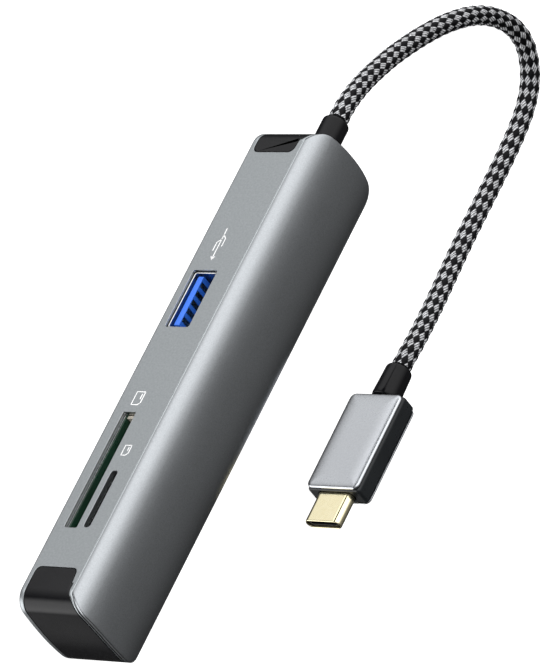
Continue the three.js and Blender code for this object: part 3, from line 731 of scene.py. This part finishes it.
def top_cover():
    outer = arch(HALF_WIDTH, COVER_BOTTOM, COVER_RISE)
    inner = under_cover(LIP, COVER_BOTTOM)
    edge_top = [outer(y) for _, y, _, _ in OUTLINE]
    edge_bottom = [inner(y) for _, y, _, _ in OUTLINE]
    wall = [max(t - b, 0) for t, b in zip(edge_top, edge_bottom)]
    fillet = [min(0.2, 0.4 * w) for w in wall]
    share = [min(w / 0.5, 1) for w in wall]
    zone = 0.32
    rings = [towards_middle(s, lambda y, i: outer(y)) for s in reversed(SHARES)]
    for d in (DEEPEST, 3.0, 2.6, 2.1, 1.7, 1.35, 1.05, 0.8, 0.6, 0.44, zone):
        rings.append(plan_ring(d, lambda y, i: outer(y)))
    for k in range(1, 9):
        t = k / 8
        swing = math.radians(90 * t)
        inset = []
        for f, w in zip(fillet, share):
            at_end = f * (1 - math.sin(swing)) + (zone - f) * (1 - t) ** 3
            inset.append(w * at_end + (1 - w) * zone * (1 - t) ** 2)
        drop = [w * f * (1 - math.cos(swing)) for f, w in zip(fillet, share)]
        rings.append(plan_ring(inset, lambda y, i: outer(y) - drop[i]))
    lip = 0.05
    rings.append(plan_ring(0, lambda y, i: edge_bottom[i] + lip * share[i]))
    rings.append(plan_ring([lip * w for w in share], lambda y, i: edge_bottom[i]))
    for d in (0.15, 0.3, 0.6, 1.0, 1.4, 2.0, 2.7, DEEPEST):
        rings.append(plan_ring(d, lambda y, i: inner(y)))
    rings += [towards_middle(s, lambda y, i: inner(y)) for s in SHARES]
    sheet = skinned("arched_cover", rings, caps=False)
    sheet.data.shade_smooth()
    sheet.data.set_sharp_from_angle(angle=math.radians(50))
    rails = []
    for side in (-1, 1):
        y = side * (HALF_WIDTH - WALL - 0.6)
        rail = box("rail", (-44, 44), (y - 0.3, y + 0.3), (11, inner(y) + 0.2))
        rails.append(tidy(rail, 0.08))
    return join(sheet, *rails)


dress(lower_housing(), HOUSING, "housing_aluminium", "lower_housing")
dress(top_cover(), COVER, "cover_aluminium", "top_cover")
closed_inlay = tidy(end_body("closed_end_band", CLOSED_START, 1, -FIT, INLAY_DEPTH - FIT, 0), 0.1)
dress(closed_inlay, GLOSS, "gloss_black", "closed_end_inlay")
cable_inlay = end_body("cable_end_band", CABLE_START, -1, -FIT, INLAY_DEPTH - FIT, 0)
tidy(cut(cable_inlay, collar_hole()), 0.1)
dress(cable_inlay, GLOSS, "gloss_black", "cable_end_inlay")

# ---- USB-A socket ------------------------------------------------------------------------

SHELL_FRONT = FACE_Y + 0.5


def usb_a_sleeve():
    width, height, sheet = USB_A["width"] - 0.3, USB_A["height"] - 0.3, 0.3
    back = SHELL_FRONT + USB_A["depth"]
    rings = []
    for inset, y in [(0, SHELL_FRONT + 0.12), (0.04, SHELL_FRONT + 0.03), (0.12, SHELL_FRONT),
                     (0.2, SHELL_FRONT), (0.27, SHELL_FRONT + 0.04), (sheet, SHELL_FRONT + 0.14),
                     (sheet, back), (0, back)]:
        loop = rounded_loop(width - 2 * inset, height - 2 * inset, max(0.6 - inset, 0.12), 6)
        rings.append(along_y(loop, USB_A["x"], USB_A["z"], y))
    return tidy(skinned("usb_a_sleeve", rings, closed=True))


TONGUE_BOTTOM = USB_A["z"] - USB_A["height"] / 2 + 1.15
TONGUE_TOP = TONGUE_BOTTOM + 1.3
TONGUE_FRONT = FACE_Y + 0.8


def usb_a_tongue():
    x = USB_A["x"]
    shell_width, shell_height = USB_A["width"] - 0.3, USB_A["height"] - 0.3
    blade = box(
        "usb_a_blade", (x - 5.6, x + 5.6), (TONGUE_FRONT, 0.6), (TONGUE_BOTTOM, TONGUE_TOP),
    )
    pads = [(p, 0.9, TONGUE_FRONT + 0.3, -6.3) for p in (-4, -2, 0, 2, 4)]
    pads += [(p, 0.8, -5.6, -1.0) for p in (-3.5, -1, 1, 3.5)]
    for p, width, y0, y1 in pads:
        half = width / 2 + 0.1
        cut(blade, box("groove", (x + p - half, x + p + half), (y0 - 0.1, y1 + 0.1),
                       (TONGUE_TOP - 0.35, TONGUE_TOP + 1)))
    tidy(blade, 0.1)
    base = box("base", (x - shell_width / 2 + 0.5, x + shell_width / 2 - 0.5),
               (0.2, SHELL_FRONT + USB_A["depth"] - 0.3),
               (USB_A["z"] - shell_height / 2 + 0.5, USB_A["z"] + shell_height / 2 - 0.5))
    return join(blade, tidy(base, 0.15))


dress(usb_a_sleeve(), STEEL, "steel", "usb_a_shell")
dress(usb_a_tongue(), BLUE, "blue_plastic", "usb_a_tongue")

# ---- port symbols ------------------------------------------------------------------------


def printed(name, strokes):
    """Thin white strokes on the port face; each is a list of (x, z) corners of a band."""
    bands = []
    for points in strokes:
        middle = [Vector(p) for p in points]
        left, right_side = [], []
        for i, p in enumerate(middle):
            ahead = (middle[min(i + 1, len(middle) - 1)] - middle[max(i - 1, 0)]).normalized()
            across = Vector((-ahead.y, ahead.x)) * 0.11
            left.append(p + across)
            right_side.append(p - across)
        loop = left + right_side[::-1]
        rings = [[(v.x, y, v.y) for v in loop] for y in (FACE_Y - 0.012, FACE_Y + 0.03)]
        bands.append(skinned(name, rings))
    obj = join(*bands) if len(bands) > 1 else bands[0]
    return dress(obj, PRINT)


def card_outline(x, z, width, height):
    """A memory card with one clipped corner, seen flat."""
    w, h = width / 2, height / 2
    return [(x - w, z + h), (x + w - 0.5, z + h), (x + w, z + h - 0.5), (x + w, z - h),
            (x - w, z - h), (x - w, z + h)]


printed("usb_symbol", [
    [(-30.4, 4.9), (-23.2, 4.9)],
    [(-23.9, 5.35), (-23.1, 4.9), (-23.9, 4.45)],
    [(-28.9, 4.9), (-28.1, 5.7), (-26.2, 5.7)],
    [(-27.9, 4.9), (-27.1, 4.1), (-25.2, 4.1)],
])
printed("card_symbol", [card_outline(8.7, 4.6, 2.9, 2.0), [(7.7, 5.1), (8.9, 5.1)]])
printed("small_card_symbol", [card_outline(20.3, 8.1, 2.2, 1.5), [(19.6, 8.4), (20.4, 8.4)]])

# ---- plug --------------------------------------------------------------------------------


def plug_core():
    thickness = PLUG_THICKNESS - 2 * (PLATE_DEPTH + 0.1)
    loops = []
    for inset, x in [(0.5, 0.0), (0.2, 0.12), (0.05, 0.3), (0, 0.55), (0, PLUG_LENGTH - 0.7),
                     (0.08, PLUG_LENGTH - 0.35), (0.25, PLUG_LENGTH - 0.12), (0.5, PLUG_LENGTH)]:
        loop = rounded_loop(thickness - 2 * inset, PLUG_HEIGHT - 2 * inset, 0.8 - inset, 10)
        loops.append(along_x(loop, PLUG_Y, PLUG_Z, PLUG_BACK + x))
    body = skinned("plug_body", loops)
    nose = rounded_loop(2.8, 8.6, 1.39, 10)
    nose_ends = (PLUG_X - 4.2, PLUG_X + 2)
    cut(body, skinned("nose", [along_x(nose, PLUG_Y, PLUG_Z, x) for x in nose_ends]))
    cut(body, box("space", (PLUG_BACK + 3.5, PLUG_X - 4), (PLUG_Y - 0.7, PLUG_Y + 0.7),
                  (PLUG_Z - 4.15, PLUG_Z + 4.15)))
    cut(body, lathe("bore", [(1.25, PLUG_BACK - 1), (1.25, PLUG_BACK + 4)], PLUG_Y, PLUG_Z))
    return tidy(body, 0.1)


def plug_cover(name, facing):
    length, height = PLUG_LENGTH - 2 * PLATE_BORDER, PLUG_HEIGHT - 2 * PLATE_BORDER
    seat = PLUG_THICKNESS / 2 - PLATE_DEPTH
    rings = []
    for inset, rise in [(0.06, 0), (0, 0.06), (0, 0.2), (0.04, 0.32), (0.13, 0.44), (0.28, 0.54),
                        (0.5, 0.62), (0.85, 0.69), (1.4, 0.75), (2.2, 0.79), (3.2, 0.8)]:
        loop = rounded_loop(length - 2 * inset, height - 2 * inset, max(1.25 - inset, 0.4), 8)
        rings.append([(PLUG_X - PLUG_LENGTH / 2 + u, PLUG_Y + facing * (seat + rise), PLUG_Z + v)
                      for u, v in loop])
    return tidy(skinned(name, rings))


def usb_c_sleeve():
    rings = []
    tip = PLUG_X + SHELL_REACH
    for inset, x in [(0, PLUG_X - 4), (0, tip - 0.35), (0.03, tip - 0.15), (0.1, tip - 0.03),
                     (0.17, tip), (0.24, tip - 0.02), (SHELL_SHEET, tip - 0.12),
                     (SHELL_SHEET, PLUG_X - 4)]:
        loop = rounded_loop(
            SHELL_THICKNESS - 2 * inset, SHELL_WIDTH - 2 * inset, 1.24 - inset, 12,
        )
        rings.append(along_x(loop, PLUG_Y, PLUG_Z, x))
    return tidy(skinned("usb_c_sleeve", rings, closed=True))


def usb_c_frame():
    front = PLUG_X + 6.25
    rings = []
    for inset, x in [(0, PLUG_X - 3.6), (0, front - 0.15), (0.12, front)]:
        loop = rounded_loop(1.66 - 2 * inset, 7.1 - 2 * inset, 0.8 - inset, 8)
        rings.append(along_x(loop, PLUG_Y, PLUG_Z, x))
    body = skinned("usb_c_frame", rings)
    cut(body, box("slot", (PLUG_X + 0.4, front + 1), (PLUG_Y - 0.42, PLUG_Y + 0.42),
                  (PLUG_Z - 3.05, PLUG_Z + 3.05)))
    return tidy(body, 0.04)


plug_body = dress(plug_core(), PLUG_BLACK, "plug_body", "plug_core")
front_cover = plug_cover("plug_front_plate", -1)
dress(front_cover, PLUG_METAL, "plug_cover", "plug_cover_front")
back_cover = plug_cover("plug_back_plate", 1)
dress(back_cover, PLUG_METAL, "plug_cover", "plug_cover_back")
usb_c = dress(usb_c_sleeve(), GOLD, "gold", "usb_c_shell")
usb_c_inside = dress(usb_c_frame(), RESIN, "black_resin", "usb_c_insulator")

# ---- the remaining CAD nodes ---------------------------------------------------------------

NODE_MATERIALS = {
    "circuit_board": BOARD, "plug_board": BOARD, "sd_floor_board": BOARD,
    "hub_controller_chip": CHIP, "card_reader_chip": CHIP, "crystal": STEEL,
    "power_inductor": FERRITE, "input_capacitor": CERAMIC, "cable_crimp": STEEL,
    "sd_cage": STEEL, "micro_sd_cage": STEEL, "sd_frame": IVORY, "micro_sd_frame": RESIN,
    "cable_tail": RESIN, "power_wire": RED, "data_wire": WHITE,
}
for name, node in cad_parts.items():
    chosen = NODE_MATERIALS.get(name)
    if name.startswith("board_screw"):
        chosen = STEEL
    if "_contact_" in name:
        chosen = GOLD
    if chosen:
        node.data.materials.clear()
        node.data.materials.append(chosen)

# ---- floor and light ------------------------------------------------------------------------

FLOOR_HALF = 3.0
FLOOR_DROP = 0.0002  # keeps the floor clear of the hub's underside
FLOOR_GLOW = 0.95
floor_mesh = bpy.data.meshes.new("floor")
floor_mesh.from_pydata([
    (-FLOOR_HALF, -FLOOR_HALF, 0), (FLOOR_HALF, -FLOOR_HALF, 0),
    (FLOOR_HALF, FLOOR_HALF, 0), (-FLOOR_HALF, FLOOR_HALF, 0),
], [], [(0, 1, 2, 3)])
floor = bpy.data.objects.new("floor", floor_mesh)
floor.location.z = -FLOOR_DROP
scene.collection.objects.link(floor)
paper = bpy.data.materials.new("floor_paper")
paper.use_nodes = True
paper_shader = paper.node_tree.nodes["Principled BSDF"]
paper_shader.inputs["Base Color"].default_value = (0.9, 0.9, 0.9, 1)
paper_shader.inputs["Roughness"].default_value = 0.9
paper_shader.inputs["Emission Color"].default_value = (1, 1, 1, 1)
paper_shader.inputs["Emission Strength"].default_value = FLOOR_GLOW
floor_mesh.materials.append(paper)
floor.visible_glossy = False

# The studio as a sky: a dim room with large soft panels, each given by the direction to its
# middle, the angles where it starts and stops fading, and its brightness.
PANELS = [
    ((-0.454, -0.832, 0.319), 20, 82, 1.9),
    ((-0.454, 0.23, 0.86), 15, 55, 0.13),
    ((0.74, -0.2, -0.642), 14, 38, 2.8),
    ((0.57, 0.51, -0.642), 5, 18, 0.35),
]
ROOM_LIGHT = 0.05
world = bpy.data.worlds.new("studio")
world.use_nodes = True
scene.world = world
sky = world.node_tree
direction = sky.nodes.new("ShaderNodeTexCoord").outputs["Generated"]
total = None
for aim, inner, outer, strength in PANELS:
    dot = sky.nodes.new("ShaderNodeVectorMath")
    dot.operation = "DOT_PRODUCT"
    dot.inputs[1].default_value = Vector(aim).normalized()
    sky.links.new(direction, dot.inputs[0])
    fade = sky.nodes.new("ShaderNodeMapRange")
    fade.interpolation_type = "SMOOTHSTEP"
    fade.inputs["From Min"].default_value = math.cos(math.radians(outer))
    fade.inputs["From Max"].default_value = math.cos(math.radians(inner))
    fade.inputs["To Max"].default_value = strength
    sky.links.new(dot.outputs["Value"], fade.inputs["Value"])
    if total is None:
        total = fade.outputs["Result"]
    else:
        add = sky.nodes.new("ShaderNodeMath")
        sky.links.new(total, add.inputs[0])
        sky.links.new(fade.outputs["Result"], add.inputs[1])
        total = add.outputs["Value"]
room = sky.nodes.new("ShaderNodeMath")
room.inputs[1].default_value = ROOM_LIGHT
sky.links.new(total, room.inputs[0])
sky.links.new(room.outputs["Value"], sky.nodes["Background"].inputs["Strength"])
sky.nodes["Background"].inputs["Color"].default_value = (1, 1, 1, 1)

scene.view_settings.view_transform = "Standard"
